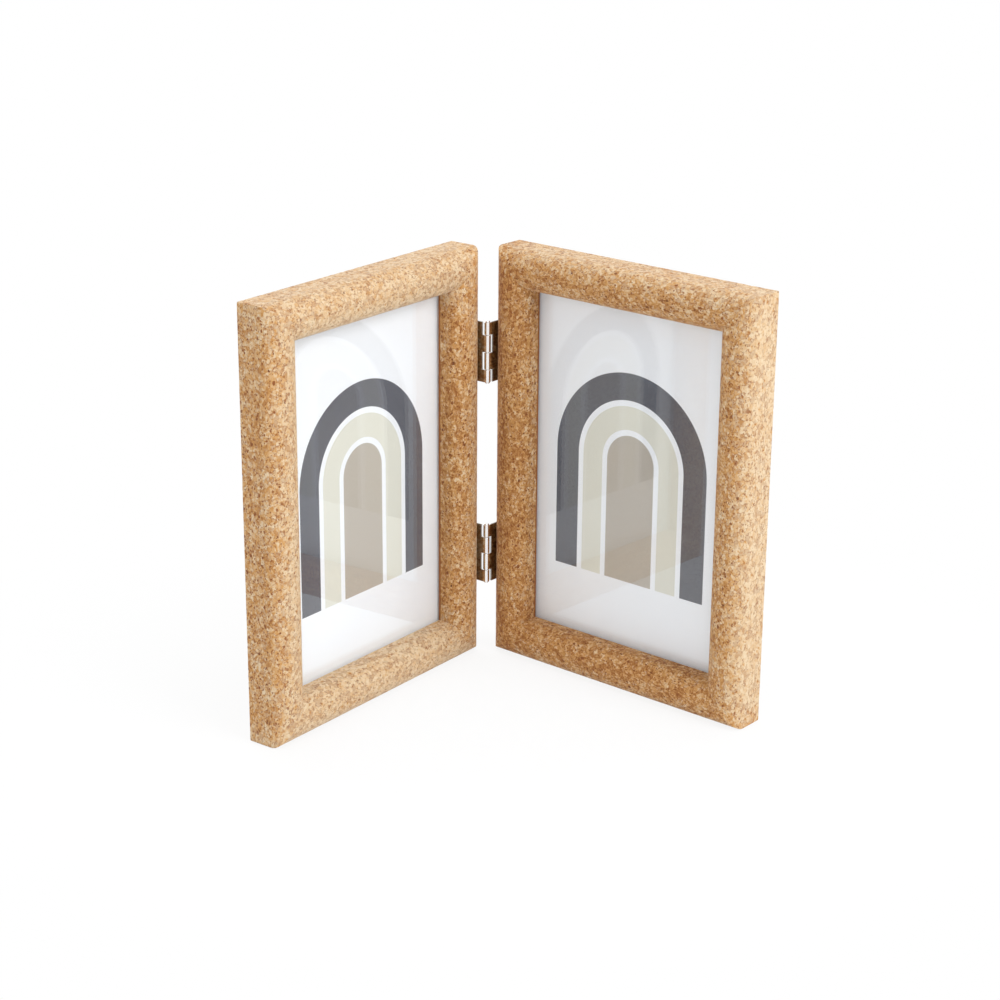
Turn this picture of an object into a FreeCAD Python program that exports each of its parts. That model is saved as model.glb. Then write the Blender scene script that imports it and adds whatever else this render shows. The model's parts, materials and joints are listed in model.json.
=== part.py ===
# Hinged double photo frame, in millimetres.
# Two mitred, round-fronted cork frames stand in a V and fold about two small butt hinges.
# Each frame is drawn in its own axes: X from its hinge side outwards, Y from its front to its back, Z up.
# It is then turned about the hinge axis to its place in the V. The left frame mirrors the right one.
# The origin is on the ground, under the middle of the V, and the V opens towards -Y.

import FreeCAD
import Part
import math
import os

# The V
opening_angle = 86.5
sides = ("left", "right")

# Moulding
frame_width = 130.0
frame_height = 180.0
face_width = 17.0
round_depth = 7.0
lip_edge = 4.4
rabbet_width = 3.5
back_edge_radius = 0.6

# What the rabbet holds, from front to back
glass_thickness = 2.0
print_thickness = 0.3
filler_thickness = 1.3
backing_thickness = 3.0
panel_clearance = 0.3
print_clearance = 0.5

# Corner nails, driven from behind across each mitre
nail_leg = 5.5
nail_thickness = 0.5
nail_height = 10.0

# Hinges
hinge_length = 26.0
hinge_inset = 32.2
end_knuckle_length = 5.5
knuckle_radius = 1.4
knuckle_gap = 0.2
leaf_thickness = 0.7
leaf_seat = 8.0
leaf_corner_radius = 1.0
notch_reach = 1.75
axis_ahead = 0.15
pin_clearance = 0.05
pin_head_radius = 1.1
pin_head_height = 0.5
pin_head_gap = 0.05
pin_dome_share = 0.8

# Hinge screws, countersunk
hinge_screw_inset = 5.5
hinge_screw_radius = 0.9
hinge_screw_head_radius = 1.8
hinge_screw_head_height = 0.9
hinge_screw_length = 9.0

# Turn buttons on the back and the pan head screws that they swivel on
button_pivot_radius = 4.2
button_tip_radius = 3.0
button_reach = 9.0
button_thickness = 1.0
button_edge_radius = 0.25
button_gap = 0.1
button_screw_radius = 1.1
button_bore_clearance = 0.08
button_screw_head_radius = 2.4
button_screw_head_height = 1.4
button_screw_length = 10.0

# All screws
pilot_clearance = 0.03
tip_share = 0.2
recess_width_share = 0.26
recess_length_share = 1.1
recess_depth_share = 0.5

# One overrun serves all cuts
overrun = 1.0

# Worked out from the sizes above
half_opening = math.radians(opening_angle / 2)
half_face = face_width / 2
lip_depth = round_depth + lip_edge
print_front = lip_depth + glass_thickness
filler_front = print_front + print_thickness
backing_front = filler_front + filler_thickness
frame_depth = backing_front + backing_thickness
rabbet_inset = face_width - rabbet_width
leaf_back = round_depth + leaf_seat
screw_row = round_depth + leaf_seat / 2
mid_knuckle_length = hinge_length / 2 - end_knuckle_length
bore_radius = knuckle_radius - leaf_thickness
pin_radius = bore_radius - pin_clearance
button_pivot_inset = rabbet_inset / 2
button_front = frame_depth + button_gap
button_back = button_front + button_thickness

# The V reaches from the front of the outer stiles to the back of the hinge stiles
back_reach = (
    math.sin(half_opening) * (frame_depth - back_edge_radius + axis_ahead)
    - math.cos(half_opening) * (back_edge_radius + knuckle_radius)
    + back_edge_radius
)
front_reach = (
    math.cos(half_opening) * (frame_width - half_face + knuckle_radius)
    - math.sin(half_opening) * (round_depth + axis_ahead)
    + math.hypot(math.cos(half_opening) * half_face, math.sin(half_opening) * round_depth)
)
axis_y = (front_reach - back_reach) / 2

zero = FreeCAD.Vector(0, 0, 0)
along_x = FreeCAD.Vector(1, 0, 0)
along_y = FreeCAD.Vector(0, 1, 0)
along_z = FreeCAD.Vector(0, 0, 1)


def box(x, y, z, size_x, size_y, size_z):
    """Box from its lowest corner and its sizes."""
    return Part.makeBox(size_x, size_y, size_z, FreeCAD.Vector(x, y, z))


def moved(shape, x, y, z):
    """Copy of a shape, moved."""
    copy = shape.copy()
    copy.translate(FreeCAD.Vector(x, y, z))
    return copy


def turned(shape, axis, angle):
    """Copy of a shape, turned about an axis through the origin, in degrees."""
    copy = shape.copy()
    copy.rotate(zero, axis, angle)
    return copy


def stand(shape, side):
    """Turn a shape from its frame's own axes to its place in the V."""
    shape = moved(shape, knuckle_radius, axis_ahead, 0)
    shape = turned(shape, along_z, opening_angle / 2 - 90)
    shape = moved(shape, 0, axis_y, 0)
    if side == "left":
        shape = shape.mirror(zero, along_x)
    return shape


def quarter_round(start, corner, end):
    """Quarter of an ellipse from start to end, where it meets the straight lines to their corner."""
    curve = Part.BezierCurve()
    curve.setPoles([start, corner, end])
    curve.setWeight(2, math.sqrt(0.5))
    return curve


def moulding_profile():
    """Section of the moulding: Y runs from front to back and Z from the outer edge inwards."""

    def point(depth, inward):
        return FreeCAD.Vector(0, depth, inward)

    outer_back = point(frame_depth - back_edge_radius, 0)
    back_outer = point(frame_depth, back_edge_radius)
    outer_front = point(round_depth, 0)
    crest = point(0, half_face)
    inner_front = point(round_depth, face_width)
    lip = point(lip_depth, face_width)
    rabbet_front = point(lip_depth, rabbet_inset)
    rabbet_back = point(frame_depth, rabbet_inset)
    edges = [
        Part.LineSegment(outer_back, outer_front),
        quarter_round(outer_front, point(0, 0), crest),
        quarter_round(crest, point(0, face_width), inner_front),
        Part.LineSegment(inner_front, lip),
        Part.LineSegment(lip, rabbet_front),
        Part.LineSegment(rabbet_front, rabbet_back),
        Part.LineSegment(rabbet_back, back_outer),
        quarter_round(back_outer, point(frame_depth, 0), outer_back),
    ]
    return Part.Face(Part.Wire([edge.toShape() for edge in edges]))


def mitred_bar(length):
    """Length of moulding along X with its outer edge down, cut to 45 degrees at both ends."""
    bar = moulding_profile().extrude(FreeCAD.Vector(length, 0, 0))
    corners = [
        FreeCAD.Vector(0, -overrun, 0),
        FreeCAD.Vector(length, -overrun, 0),
        FreeCAD.Vector(length - face_width, -overrun, face_width),
        FreeCAD.Vector(face_width, -overrun, face_width),
        FreeCAD.Vector(0, -overrun, 0),
    ]
    trapezoid = Part.Face(Part.makePolygon(corners))
    return bar.common(trapezoid.extrude(FreeCAD.Vector(0, frame_depth + 2 * overrun, 0)))


def frame_members():
    """The four mouldings of a frame, each with its outer edge on the frame's outline."""
    rail = mitred_bar(frame_width)
    stile = mitred_bar(frame_height)
    return {
        "bottom_rail": rail,
        "top_rail": moved(turned(rail, along_y, 180), frame_width, 0, frame_height),
        "hinge_stile": moved(turned(stile, along_y, 90), 0, 0, frame_height),
        "outer_stile": moved(turned(stile, along_y, -90), frame_width, 0, 0),
    }


def corner_nail():
    """V-shaped nail with its point towards the corner at the origin, one leg in each member."""
    point = (rabbet_inset - nail_leg) / 2
    top = frame_depth - nail_height
    lying = box(point, top, point, nail_leg, nail_height, nail_thickness)
    upright = box(point, top, point, nail_thickness, nail_height, nail_leg)
    return lying.fuse(upright).removeSplitter()


def corner_nails():
    """One nail in each corner of a frame."""
    nail = corner_nail()
    return [
        nail,
        moved(turned(nail, along_y, -90), frame_width, 0, 0),
        moved(turned(nail, along_y, 180), frame_width, 0, frame_height),
        moved(turned(nail, along_y, 90), 0, 0, frame_height),
    ]


def panel(front, thickness, clearance):
    """Flat sheet that lies in the rabbet with a clearance all round."""
    edge = rabbet_inset + clearance
    return box(edge, front, edge, frame_width - 2 * edge, thickness, frame_height - 2 * edge)


def cross_recess(head_radius, head_height):
    """Cross-shaped recess that is cut into a screw head at the origin, down +Y."""
    width = recess_width_share * head_radius
    length = recess_length_share * head_radius
    depth = recess_depth_share * head_height
    slot = box(-length / 2, -overrun, -width / 2, length, depth + overrun, width)
    return slot.fuse(turned(slot, along_y, 90))


def screw_shank(radius, start, end):
    """Round shank along +Y that ends in a point."""
    tip = tip_share * (end - start)
    body = Part.makeCylinder(radius, end - start - tip, FreeCAD.Vector(0, start, 0), along_y)
    point = Part.makeCone(radius, 0, tip, FreeCAD.Vector(0, end - tip, 0), along_y)
    return body.fuse(point)


def countersunk_body(grow):
    """Countersunk screw down +Y with its head flush at Y = 0, made larger by grow to cut its hole."""
    cone = Part.makeCone(
        hinge_screw_head_radius + grow, hinge_screw_radius + grow, hinge_screw_head_height, zero, along_y
    )
    shank = screw_shank(hinge_screw_radius + grow, hinge_screw_head_height, hinge_screw_length + grow)
    return cone.fuse(shank)


def hinge_screw():
    """Countersunk hinge screw down +Y with a cross recess."""
    recess = cross_recess(hinge_screw_head_radius, hinge_screw_head_height)
    return countersunk_body(0).cut(recess).removeSplitter()


def hinge_starts():
    """Heights of the lower ends of the two hinges."""
    return {"lower": hinge_inset, "upper": frame_height - hinge_inset - hinge_length}


def at_hinge_screws(shape, which):
    """Copies of a screw shape at the two screw places of one hinge, driven into the hinge stile."""
    start = hinge_starts()[which]
    driven = turned(shape, along_z, -90)
    places = (start + hinge_screw_inset, start + hinge_length - hinge_screw_inset)
    return [moved(driven, -leaf_thickness, screw_row, place) for place in places]


def knuckle_spans():
    """Lower and upper ends of the four knuckles, from the bottom of the hinge up, without their gaps."""
    lengths = (end_knuckle_length, mid_knuckle_length, mid_knuckle_length, end_knuckle_length)
    spans = []
    start = 0
    for length in lengths:
        spans.append((start, start + length))
        start += length
    return spans


def own_knuckles(side):
    """The knuckle spans of one leaf: the left leaf has the lowest one, and they take turns."""
    first = 0 if side == "left" else 1
    spans = []
    for low, high in knuckle_spans()[first::2]:
        low_gap = knuckle_gap / 2 if low > 0 else 0
        high_gap = knuckle_gap / 2 if high < hinge_length else 0
        spans.append((low + low_gap, high - high_gap))
    return spans


def hinge_leaf(side, which):
    """Leaf on the side of the hinge stile, notched in front and rolled into its two knuckles."""
    notch_back = notch_reach - axis_ahead
    leaf = box(-leaf_thickness, notch_back, 0, leaf_thickness, leaf_back - notch_back, hinge_length)
    back_corners = [
        edge
        for edge in leaf.Edges
        if all(vertex.Y > notch_back + leaf_corner_radius for vertex in edge.Vertexes)
        and abs(edge.Vertexes[0].X - edge.Vertexes[-1].X) > leaf_thickness / 2
    ]
    leaf = leaf.makeFillet(leaf_corner_radius, back_corners)
    for low, high in own_knuckles(side):
        barrel_foot = FreeCAD.Vector(-knuckle_radius, -axis_ahead, low)
        tab = box(-leaf_thickness, -axis_ahead, low, leaf_thickness, notch_reach, high - low)
        barrel = Part.makeCylinder(knuckle_radius, high - low, barrel_foot, along_z)
        leaf = leaf.fuse(tab).fuse(barrel)
    bore_foot = FreeCAD.Vector(-knuckle_radius, -axis_ahead, -overrun)
    leaf = leaf.cut(Part.makeCylinder(bore_radius, hinge_length + 2 * overrun, bore_foot, along_z))
    leaf = moved(leaf.removeSplitter(), 0, 0, hinge_starts()[which])
    for hole in at_hinge_screws(countersunk_body(pilot_clearance), which):
        leaf = leaf.cut(hole)
    return leaf


def pin_head(height, direction):
    """Riveted dome at one end of a hinge pin, at a height on the axis."""
    foot = FreeCAD.Vector(-knuckle_radius, -axis_ahead, height)
    head = Part.makeCylinder(pin_head_radius, pin_head_height, foot, direction)
    outer = height + direction.z * pin_head_height
    rim = [edge for edge in head.Edges if all(abs(v.Z - outer) < pin_head_gap for v in edge.Vertexes)]
    return head.makeFillet(pin_head_height * pin_dome_share, rim)


def hinge_pin(which):
    """Pin through all four knuckles of one hinge, with a dome at each end."""
    start = hinge_starts()[which] - pin_head_gap
    end = hinge_starts()[which] + hinge_length + pin_head_gap
    foot = FreeCAD.Vector(-knuckle_radius, -axis_ahead, start)
    shaft = Part.makeCylinder(pin_radius, end - start, foot, along_z)
    return shaft.fuse(pin_head(end, along_z)).fuse(pin_head(start, -along_z)).removeSplitter()


def button_places():
    """Pivot of each turn button as X and Z, and the turn about Y that points it inwards from +X."""
    middle_x = frame_width / 2
    middle_z = frame_height / 2
    inset = button_pivot_inset
    return {
        "bottom": (middle_x, inset, -90),
        "top": (middle_x, frame_height - inset, 90),
        "hinge_side": (inset, middle_z, 0),
        "outer": (frame_width - inset, middle_z, 180),
    }


def turn_button():
    """Flat button with its pivot at the origin and its tip towards +X, tapered from pivot to tip."""
    tangent = math.acos((button_pivot_radius - button_tip_radius) / button_reach)

    def point(centre, radius, angle):
        return FreeCAD.Vector(centre + radius * math.cos(angle), 0, radius * math.sin(angle))

    pivot_top = point(0, button_pivot_radius, tangent)
    pivot_bottom = point(0, button_pivot_radius, -tangent)
    tip_top = point(button_reach, button_tip_radius, tangent)
    tip_bottom = point(button_reach, button_tip_radius, -tangent)
    edges = [
        Part.Arc(pivot_top, point(0, button_pivot_radius, math.pi), pivot_bottom),
        Part.LineSegment(pivot_bottom, tip_bottom),
        Part.Arc(tip_bottom, point(button_reach, button_tip_radius, 0), tip_top),
        Part.LineSegment(tip_top, pivot_top),
    ]
    plate = Part.Face(Part.Wire([edge.toShape() for edge in edges]))
    plate = plate.extrude(FreeCAD.Vector(0, button_thickness, 0))
    back_edges = [edge for edge in plate.Edges if edge.CenterOfMass.y > button_thickness - button_edge_radius]
    plate = plate.makeFillet(button_edge_radius, back_edges)
    bore = button_screw_radius + button_bore_clearance
    hole = Part.makeCylinder(bore, button_thickness + 2 * overrun, FreeCAD.Vector(0, -overrun, 0), along_y)
    return plate.cut(hole)


def button_screw():
    """Pan head screw on the Y axis: its head is behind the button and its shank runs forwards."""
    head_front = button_back + button_gap
    head_back = head_front + button_screw_head_height
    foot = FreeCAD.Vector(0, head_front, 0)
    head = Part.makeCylinder(button_screw_head_radius, button_screw_head_height, foot, along_y)
    rim = [edge for edge in head.Edges if all(abs(v.Y - head_back) < button_gap for v in edge.Vertexes)]
    head = head.makeFillet(button_screw_head_height / 2, rim)
    recess = cross_recess(button_screw_head_radius, button_screw_head_height)
    recess = moved(turned(recess, along_x, 180), 0, head_back, 0)
    return head.cut(recess).fuse(button_shank(0, head_front)).removeSplitter()


def button_shank(grow, back):
    """Shank of a turn button's screw from a depth forwards, made larger by grow to cut its hole."""
    length = button_screw_length + back - frame_depth + grow
    shank = screw_shank(button_screw_radius + grow, 0, length)
    return moved(turned(shank, along_x, 180), 0, back, 0)


def at_buttons(shape):
    """Copies of a shape at the four turn buttons, turned as they point."""
    placed = {}
    for name, (x, z, angle) in button_places().items():
        placed[name] = moved(turned(shape, along_y, angle), x, 0, z)
    return placed


def drilled_members():
    """The four mouldings of a frame with the slots of the nails and the pilot holes of all screws."""
    cutters = corner_nails()
    cutters += list(at_buttons(button_shank(pilot_clearance, frame_depth + overrun)).values())
    for which in hinge_starts():
        cutters += at_hinge_screws(countersunk_body(pilot_clearance), which)
    return {name: member.cut(cutters) for name, member in frame_members().items()}


def frame_nodes(side):
    """All pieces of one frame in its own axes."""
    nodes = drilled_members()
    nodes["corner_nails"] = Part.makeCompound(corner_nails())
    nodes["glass"] = panel(lip_depth, glass_thickness, panel_clearance)
    nodes["print"] = panel(print_front, print_thickness, print_clearance)
    nodes["filler_board"] = panel(filler_front, filler_thickness, panel_clearance)
    nodes["backing_board"] = panel(backing_front, backing_thickness, panel_clearance)
    screws = []
    for which in hinge_starts():
        nodes[which + "_hinge_leaf"] = hinge_leaf(side, which)
        screws += at_hinge_screws(hinge_screw(), which)
    nodes["hinge_screws"] = Part.makeCompound(screws)
    for name, button in at_buttons(moved(turn_button(), 0, button_front, 0)).items():
        nodes[name + "_button"] = button
    nodes["button_screws"] = Part.makeCompound(list(at_buttons(button_screw()).values()))
    return {side + "_" + name: stand(shape, side) for name, shape in nodes.items()}


def write_parts():
    """Write one STEP file for each node."""
    os.makedirs("parts", exist_ok=True)
    nodes = {which + "_hinge_pin": stand(hinge_pin(which), "left") for which in hinge_starts()}
    for side in sides:
        nodes.update(frame_nodes(side))
    for name, shape in nodes.items():
        shape.exportStep("parts/" + name + ".step")


write_parts()
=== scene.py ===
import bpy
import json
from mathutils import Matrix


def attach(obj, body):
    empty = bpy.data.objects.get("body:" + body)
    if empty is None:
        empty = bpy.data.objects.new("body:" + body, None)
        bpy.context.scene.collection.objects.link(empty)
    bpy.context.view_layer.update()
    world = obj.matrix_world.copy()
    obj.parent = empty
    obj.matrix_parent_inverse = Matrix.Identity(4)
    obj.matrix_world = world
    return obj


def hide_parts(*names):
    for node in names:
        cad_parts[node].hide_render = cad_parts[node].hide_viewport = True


bl_info = {
    "name": "Cork Double Photo Frame",
    "version": (1, 0, 0),
    "blender": (4, 5, 0),
    "location": "3D View > Sidebar > Photo Frame",
    "description": "Dresses two hinged cork frames: mouldings, panes, prints, boards, hinges and fittings",
    "category": "Object",
}

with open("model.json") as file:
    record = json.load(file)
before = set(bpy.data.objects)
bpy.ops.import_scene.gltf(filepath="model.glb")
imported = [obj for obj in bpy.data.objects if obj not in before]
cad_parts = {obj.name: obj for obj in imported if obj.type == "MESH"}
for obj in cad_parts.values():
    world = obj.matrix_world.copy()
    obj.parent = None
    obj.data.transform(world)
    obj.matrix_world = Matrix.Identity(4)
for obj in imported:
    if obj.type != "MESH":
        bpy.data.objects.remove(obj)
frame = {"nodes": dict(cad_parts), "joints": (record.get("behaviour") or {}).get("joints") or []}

import json
import math

import bmesh
import bpy
import numpy as np
from bpy.props import FloatProperty, FloatVectorProperty, PointerProperty
from mathutils import Matrix, Vector

MM = 0.001
UP = np.array((0.0, 0.0, 1.0))
SIDES = ("left", "right")
MEMBERS = ("bottom_rail", "top_rail", "hinge_stile", "outer_stile")
BUTTONS = ("bottom_button", "top_button", "hinge_side_button", "outer_button")
HINGES = ("upper", "lower")
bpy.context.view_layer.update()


# The frames' own axes

def joint(name):
    """One joint of the frame."""
    return next(each for each in frame["joints"] if each["name"] == name)


def node_points(name):
    """All corners of a node's mesh, one row each."""
    mesh = frame["nodes"][name].data
    points = np.empty(len(mesh.vertices) * 3)
    mesh.vertices.foreach_get("co", points)
    return points.reshape(-1, 3)


def frame_axes(side):
    """One frame's own axes: its lowest corner at the front of its hinge side, then outwards and backwards."""
    back = np.array(joint(side + "_bottom_button_turn")["axis"])
    outward = np.array((back[1], -back[0], 0.0)) * (1 if side == "right" else -1)
    points = np.concatenate([node_points(f"{side}_{member}") for member in MEMBERS])
    corner = outward * (points @ outward).min() + back * (points @ back).min() + UP * points[:, 2].min()
    return corner, outward, back


AXES = {side: frame_axes(side) for side in SIDES}


def own_box(side, name):
    """Lowest and highest corner of a node in its frame's own axes: outwards, backwards, up."""
    corner, outward, back = AXES[side]
    own = (node_points(f"{side}_{name}") - corner) @ np.array((outward, back, UP)).T
    return own.min(0), own.max(0)


def placed(side, outward_by, back_by, up_by):
    """Points given in a frame's own axes, as points of the scene."""
    corner, outward, back = AXES[side]
    shape = np.broadcast(outward_by, back_by, up_by).shape + (3,)
    points = np.zeros(shape)
    for amount, axis in ((outward_by, outward), (back_by, back), (up_by, UP)):
        points += np.asarray(amount)[..., None] * axis
    return points + corner


RAIL = own_box("right", "bottom_rail")
STILE = own_box("right", "outer_stile")
GLASS = own_box("right", "glass")
BACKING = own_box("right", "backing_board")
FRAME_WIDTH = float(RAIL[1][0])
FRAME_HEIGHT = float(STILE[1][2])
FRAME_DEPTH = float(STILE[1][1])
FACE_WIDTH = float(RAIL[1][2])
LIP_DEPTH = float(GLASS[0][1])
FOLD_PLACE = joint("fold")["pos_m"]

# How far the dressed surfaces keep inside the CAD shape

SKIN = 0.02 * MM


# Settings that a user would change

def length_setting(name, description, millimetres):
    """A length that a user can change."""
    return FloatProperty(name=name, description=description, default=millimetres * MM, unit="LENGTH")


def colour_setting(name, description, default):
    """A colour that a user can change."""
    return FloatVectorProperty(
        name=name, description=description, subtype="COLOR", size=3, default=default, min=0, max=1)


def angle_setting(name, description, degrees):
    """An angle that a user can change."""
    return FloatProperty(name=name, description=description, default=math.radians(degrees), subtype="ANGLE")


def power_setting(name, description, watts):
    """The power of a lamp that a user can change."""
    return FloatProperty(name=name, description=description, default=watts, min=0, unit="POWER")


class CorkSettings(bpy.types.PropertyGroup):
    round_depth: length_setting("Round depth", "How far back the rounded front reaches", 7.0)
    rabbet_width: length_setting("Rabbet width", "How far the glass reaches behind the lip", 3.5)
    back_edge: length_setting("Back edge", "Radius of the outer back edge", 0.6)
    corner_round: length_setting(
        "Corner round", "Radius of the frame's outer corners, seen from the front", 0.6)
    relief: length_setting("Relief", "Depth of the waviness that sanding leaves between granules", 0.04)
    pit_depth: length_setting("Pit depth", "Depth of the open pores", 0.16)
    # Painted shade: a dark line painted on the hinge stile's lip where it meets the pane, and its width
    lip_shade: FloatProperty(
        name="Lip shade", description="How much darker the hinge stile's lip is where it meets the pane",
        default=0.6)
    lip_shade_reach: length_setting("Lip shade reach", "Width of that dark line", 0.8)
    # Painted light: how far the members' painted light and shade run into each other across a mitre
    painted_light_blend: length_setting(
        "Tone blend", "How far from a mitre two members' tones run into each other", 11.0)
    step: length_setting("Step", "Spacing of the surface's grid", 0.55)
    granule: length_setting("Granule", "Usual size of a cork granule", 1.45)
    cream: colour_setting("Cream", "Palest granules", (0.77, 0.68, 0.495))
    tan: colour_setting("Tan", "Most granules", (0.545, 0.278, 0.084))
    brown: colour_setting("Brown", "Darkest granules and the seams between granules", (0.27, 0.088, 0.021))
    bark: colour_setting("Bark", "Darkest part of the bark specks", (0.075, 0.022, 0.012))


class PrintSettings(bpy.types.PropertyGroup):
    paper: colour_setting("Paper", "Bare card", (0.915, 0.935, 0.98))
    slate: colour_setting("Slate", "Ink of the outer arch", (0.085, 0.088, 0.11))
    sage: colour_setting("Sage", "Ink of the middle arch", (0.735, 0.725, 0.64))
    taupe: colour_setting("Taupe", "Ink of the inner arch", (0.47, 0.42, 0.36))
    arch_centre: length_setting("Arch centre", "Centre of the arches above the middle of the card", 7.0)
    arch_legs: length_setting("Arch legs", "Length of the arches' straight legs", 52.0)
    behind_glass: length_setting("Behind glass", "Air between the glass and the card", 0.08)


class MetalSettings(bpy.types.PropertyGroup):
    # The leaves' darker plate is painted shade for the shaded cork that they reflect; the barrels keep the
    # bright plate
    nickel: colour_setting(
        "Nickel", "Plating of the hinge barrels, polished by handling", (0.90, 0.89, 0.885))
    shaded_leaf_nickel: colour_setting("Dull nickel", "Plating of the leaves", (0.47, 0.44, 0.41))
    steel: colour_setting("Steel", "Zinc-plated back fittings", (0.60, 0.60, 0.59))
    easing: length_setting("Easing", "Width of the broken edges", 0.07)
    leaf_easing: length_setting("Leaf easing", "Width of the worn edges of leaves and barrels", 0.16)


class StageSettings(bpy.types.PropertyGroup):
    lens: FloatProperty(name="Lens", description="Focal length in millimetres", default=82.487)
    camera_place: FloatVectorProperty(
        name="Camera place", description="Where the camera stands", subtype="TRANSLATION", size=3,
        default=(-0.098169, -0.877340, 0.394189))
    heading: angle_setting("Heading", "Turn of the camera from straight ahead to the right", 6.4577)
    pitch: angle_setting("Pitch", "How far the camera looks down", 19.3859)
    roll: angle_setting("Roll", "Lean of the camera", 0.4588)
    world_light: FloatProperty(
        name="World light", description="Even light from all round", default=0.75, min=0)
    key_power: power_setting("Key power", "Power of the large lamp at the right", 8.0)
    top_power: power_setting("Top power", "Power of the lamp overhead", 2.9)
    fill_power: power_setting("Fill power", "Power of the weak lamp at the left", 1.4)
    back_power: power_setting("Back power", "Power of the lamp behind", 3.0)


class FrameSettings(bpy.types.PropertyGroup):
    cork: PointerProperty(type=CorkSettings)
    prints: PointerProperty(type=PrintSettings)
    metal: PointerProperty(type=MetalSettings)
    stage: PointerProperty(type=StageSettings)


def settings():
    """The scene's settings for this object."""
    return bpy.context.scene.photo_frame


# Meshes

# Corners this close and faces this flat are merged, and edges that turn more than an angle stay sharp

WELD_DISTANCE = 1e-6
FLAT_ANGLE = math.radians(0.6)
BEVEL_ANGLE = math.radians(40)
METAL_SHARP_ANGLE = math.radians(35)
CORK_SHARP_ANGLE = math.radians(40)


def mesh_piece(name, points, faces, attributes=None, uv=None):
    """A piece from an array of points and a list of faces, with its faces turned outwards."""
    mesh = bpy.data.meshes.new(name)
    mesh.from_pydata(points.reshape(-1, 3).tolist(), [], faces)
    for label, (kind, values) in (attributes or {}).items():
        attribute = mesh.attributes.new(label, kind, "POINT")
        slot = "vector" if kind == "FLOAT_VECTOR" else "value"
        attribute.data.foreach_set(slot, np.asarray(values, np.float32).ravel())
    if uv is not None:
        corners = np.empty(len(mesh.loops), np.int32)
        mesh.loops.foreach_get("vertex_index", corners)
        layer = mesh.uv_layers.new(name="surface")
        layer.data.foreach_set("uv", np.asarray(uv, np.float32).reshape(-1, 2)[corners].ravel())
    outward_faces(mesh)
    piece = bpy.data.objects.new(name, mesh)
    bpy.context.scene.collection.objects.link(piece)
    return piece


def outward_faces(mesh):
    """Turns all faces of a closed mesh outwards."""
    work = bmesh.new()
    work.from_mesh(mesh)
    bmesh.ops.recalc_face_normals(work, faces=work.faces)
    work.to_mesh(mesh)
    work.free()
    mesh.update()


def soften(piece, angle):
    """Smooth shading, broken at edges that turn by more than an angle."""
    piece.data.shade_smooth()
    piece.data.set_sharp_from_angle(angle=angle)


def tube_faces(rings, around):
    """Quads between rings of points, one ring after another, and a cap at each end."""
    ring = np.arange(rings - 1)[:, None] * around
    here = np.arange(around)[None, :]
    after = (here + 1) % around
    quads = np.stack((ring + here, ring + after, ring + around + after, ring + around + here), -1)
    faces = quads.reshape(-1, 4).tolist()
    faces.append(list(range(around))[::-1])
    faces.append(list(range((rings - 1) * around, rings * around)))
    return faces


def dress(piece, material, body, nodes):
    """Gives a piece its material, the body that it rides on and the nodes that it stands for."""
    piece.data.materials.clear()
    piece.data.materials.append(material)
    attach(piece, body)
    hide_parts(*nodes)


def eased_copy(name, width):
    """A copy of a node with its doubles merged and its sharp edges broken by a small bevel."""
    mesh = frame["nodes"][name].data.copy()
    mesh.name = name + "_eased"
    mesh.materials.clear()
    work = bmesh.new()
    work.from_mesh(mesh)
    bmesh.ops.remove_doubles(work, verts=work.verts, dist=WELD_DISTANCE)
    bmesh.ops.dissolve_limit(work, angle_limit=FLAT_ANGLE, verts=work.verts, edges=work.edges)
    work.to_mesh(mesh)
    work.free()
    piece = bpy.data.objects.new(name + "_eased", mesh)
    bpy.context.scene.collection.objects.link(piece)
    bevel = piece.modifiers.new("Eased edges", "BEVEL")
    bevel.width = width
    bevel.segments = 2
    bevel.limit_method = "ANGLE"
    bevel.angle_limit = BEVEL_ANGLE
    bevel.use_clamp_overlap = True
    soften(piece, METAL_SHARP_ANGLE)
    return piece


def dress_node(name, easing, material, body):
    """Puts an eased copy of a node in the node's place."""
    dress(eased_copy(name, easing), material, body, [name])


def finish_node(name, material):
    """Puts a material on a node that keeps its own shape."""
    mesh = frame["nodes"][name].data
    mesh.materials.clear()
    mesh.materials.append(material)


# Shader building

def fill_inputs(tree, made, values):
    """Sets a node's inputs, or links them where a value is another node's output."""
    for name, value in values.items():
        if isinstance(value, bpy.types.NodeSocket):
            tree.links.new(value, made.inputs[name])
        else:
            made.inputs[name].default_value = value


def node(tree, kind, values=None, **properties):
    """Adds a node, sets its properties, and sets or links its inputs."""
    made = tree.nodes.new(kind)
    for name, value in properties.items():
        setattr(made, name, value)
    fill_inputs(tree, made, values or {})
    return made


def sums(tree, operation, first, second=0.0, third=0.0):
    """Result of a math node."""
    return node(tree, "ShaderNodeMath", {0: first, 1: second, 2: third}, operation=operation).outputs[0]


def vector_sums(tree, operation, first, second=(0, 0, 0), third=(0, 0, 0)):
    """Result of a vector math node."""
    values = {0: first, 1: second}
    if operation == "MULTIPLY_ADD":
        values[2] = third
    return node(tree, "ShaderNodeVectorMath", values, operation=operation).outputs[0]


def ramp_between(tree, value, low, high, out_low=0.0, out_high=1.0, smooth=True):
    """A value carried from one range to another, held at both ends."""
    values = {"Value": value, "From Min": low, "From Max": high, "To Min": out_low, "To Max": out_high}
    kind = "SMOOTHSTEP" if smooth else "LINEAR"
    return node(tree, "ShaderNodeMapRange", values, interpolation_type=kind).outputs[0]


def blend_colours(tree, factor, first, second):
    """Result of mixing two colours."""
    return node(tree, "ShaderNodeMix", {0: factor, 6: first, 7: second}, data_type="RGBA").outputs[2]


def noise(tree, place, scale, detail, roughness=0.5):
    """Outputs of a noise texture: a value and a colour."""
    values = {"Vector": place, "Scale": scale, "Detail": detail, "Roughness": roughness}
    return node(tree, "ShaderNodeTexNoise", values).outputs


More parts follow.
